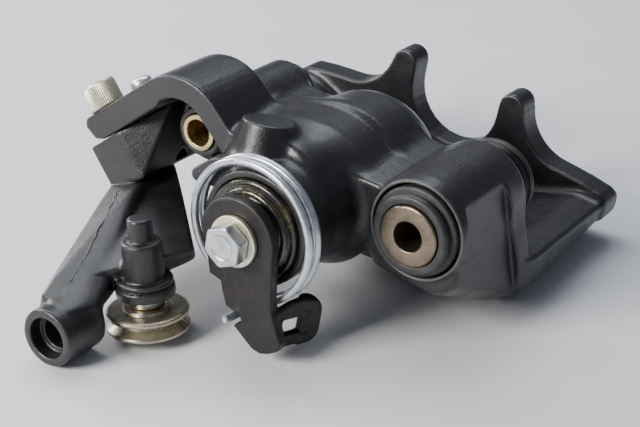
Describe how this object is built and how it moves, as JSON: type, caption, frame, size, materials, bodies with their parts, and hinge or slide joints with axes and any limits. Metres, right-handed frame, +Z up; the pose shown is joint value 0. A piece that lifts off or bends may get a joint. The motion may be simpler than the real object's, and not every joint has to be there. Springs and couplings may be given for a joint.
{
  "type": "brake caliper",
  "caption": "Floating brake caliper with a parking-brake lever and return spring, guide sleeves in rubber boots, and a bolted cable bracket with a grooved pulley.",
  "frame": {"origin": "on the bench, under the middle of the bounding box, with the caliper lying as it rests", "axes": "+Y along the piston towards the outer leg, +X across the caliper towards the main guide sleeve, +Z up; the piston axis is 3.5 degrees below +Y"},
  "size_m": [0.1606, 0.1948, 0.0813],
  "materials": {
    "black_casting": "black semi-gloss paint over cast iron",
    "dark_steel": "dark grey-brown phosphated steel plate",
    "zinc": "bright zinc plating",
    "yellow_zinc": "yellow chromated zinc plating",
    "sleeve_steel": "satin turned steel with a warm tint",
    "bright_steel": "ground steel",
    "rubber": "matt black rubber",
    "greased_rubber": "black rubber with an olive film of grease",
    "bronze": "sintered bronze"
  },
  "bodies": {
    "housing": {"caliper_body": "black_casting", "piston_seal": "rubber", "piston_boot": "rubber", "spring_cage": "bright_steel", "cage_circlip": "bright_steel", "shaft_seal": "greased_rubber", "pushrod_spring": "bright_steel", "return_spring": "zinc", "main_boot_front": "rubber", "main_boot_rear": "rubber", "second_boot_front": "rubber", "second_boot_rear": "rubber", "cable_bracket": "black_casting", "bracket_cap_screw": "yellow_zinc", "bracket_dome_screw": "zinc", "pulley_pin": "bright_steel", "bleed_screw": "zinc", "bleed_cap": "rubber"},
    "lever": {"parking_lever": "dark_steel", "lever_washer": "yellow_zinc", "lever_bolt": "zinc", "lever_shaft": "bright_steel", "cam_plate": "bright_steel"},
    "pushrod_set": {"pushrod": "bright_steel", "adjuster_nut": "bright_steel", "ramp_ball_1": "bright_steel", "ramp_ball_2": "bright_steel", "ramp_ball_3": "bright_steel"},
    "brake_piston": {"piston": "bright_steel"},
    "pulley": {"cable_pulley": "sleeve_steel", "pulley_bush": "bronze"},
    "main_guide": {"main_guide_sleeve": "sleeve_steel"},
    "second_guide": {"second_guide_sleeve": "yellow_zinc"}
  },
  "joints": [
    {"name": "lever_turn", "type": "hinge", "parent": "housing", "child": "lever", "pos_m": [0.01119, -0.02177, 0.04169], "axis": [0, 0.9981, -0.0611], "range_deg": [0, 30], "stiffness_Nm_per_rad": 1, "springref_deg": -11.46, "deforming": ["return_spring"]},
    {"name": "pushrod_slide", "type": "slide", "parent": "housing", "child": "pushrod_set", "axis": [0, 0.9981, -0.0611], "range_m": [0, 0.0026], "deforming": ["pushrod_spring"]},
    {"name": "piston_slide", "type": "slide", "parent": "housing", "child": "brake_piston", "axis": [0, 0.9981, -0.0611], "range_m": [0, 0.018]},
    {"name": "pulley_turn", "type": "hinge", "parent": "housing", "child": "pulley", "pos_m": [-0.02261, -0.06074, 0.01064], "axis": [-0.0958, 0.0608, 0.9935], "continuous": true},
    {"name": "main_guide_slide", "type": "slide", "parent": "housing", "child": "main_guide", "axis": [0, 0.9981, -0.0611], "range_m": [-0.003, 0.008]},
    {"name": "second_guide_slide", "type": "slide", "parent": "housing", "child": "second_guide", "axis": [0, 0.9981, -0.0611], "range_m": [-0.003, 0.008]}
  ],
  "couplings": [
    {"joint": "pushrod_slide", "follows": "lever_turn", "m_per_rad": 0.0048},
    {"joint": "second_guide_slide", "follows": "main_guide_slide", "ratio": 1}
  ]
}
